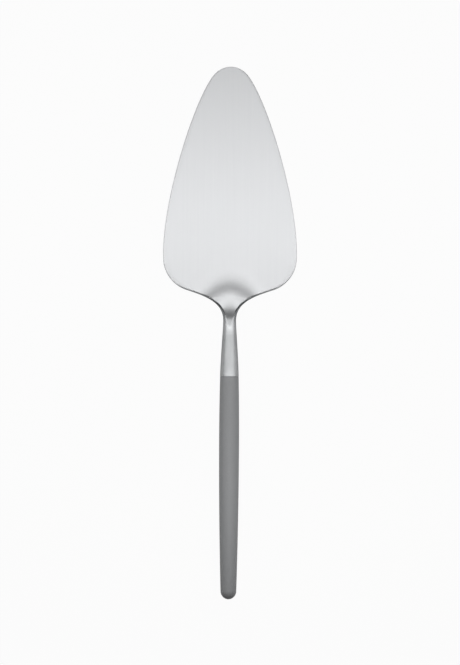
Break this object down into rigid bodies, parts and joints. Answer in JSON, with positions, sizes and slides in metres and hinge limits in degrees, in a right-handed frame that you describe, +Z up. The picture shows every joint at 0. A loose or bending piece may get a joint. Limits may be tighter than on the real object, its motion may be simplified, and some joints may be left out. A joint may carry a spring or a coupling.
{
  "type": "cake server",
  "caption": "Cake server with a flat leaf-shaped steel blade, a cranked round neck and a slim tapered grip, for lifting and serving slices of cake.",
  "frame": {"origin": "on the table plane, under the middle of the overall length and width", "axes": "+Y towards the blade's tip, +X across the blade, +Z up from the table that the blade's flat underside lies on"},
  "size_m": [0.0654, 0.26, 0.0155],
  "materials": {
    "satin_steel": "satin, brushed lengthwise",
    "grey_resin": "fine matte moulded resin",
    "bond": "set epoxy adhesive"
  },
  "bodies": {
    "root": {"blade": "satin_steel", "handle": "grey_resin", "tang_bond": "bond"}
  },
  "joints": []
}
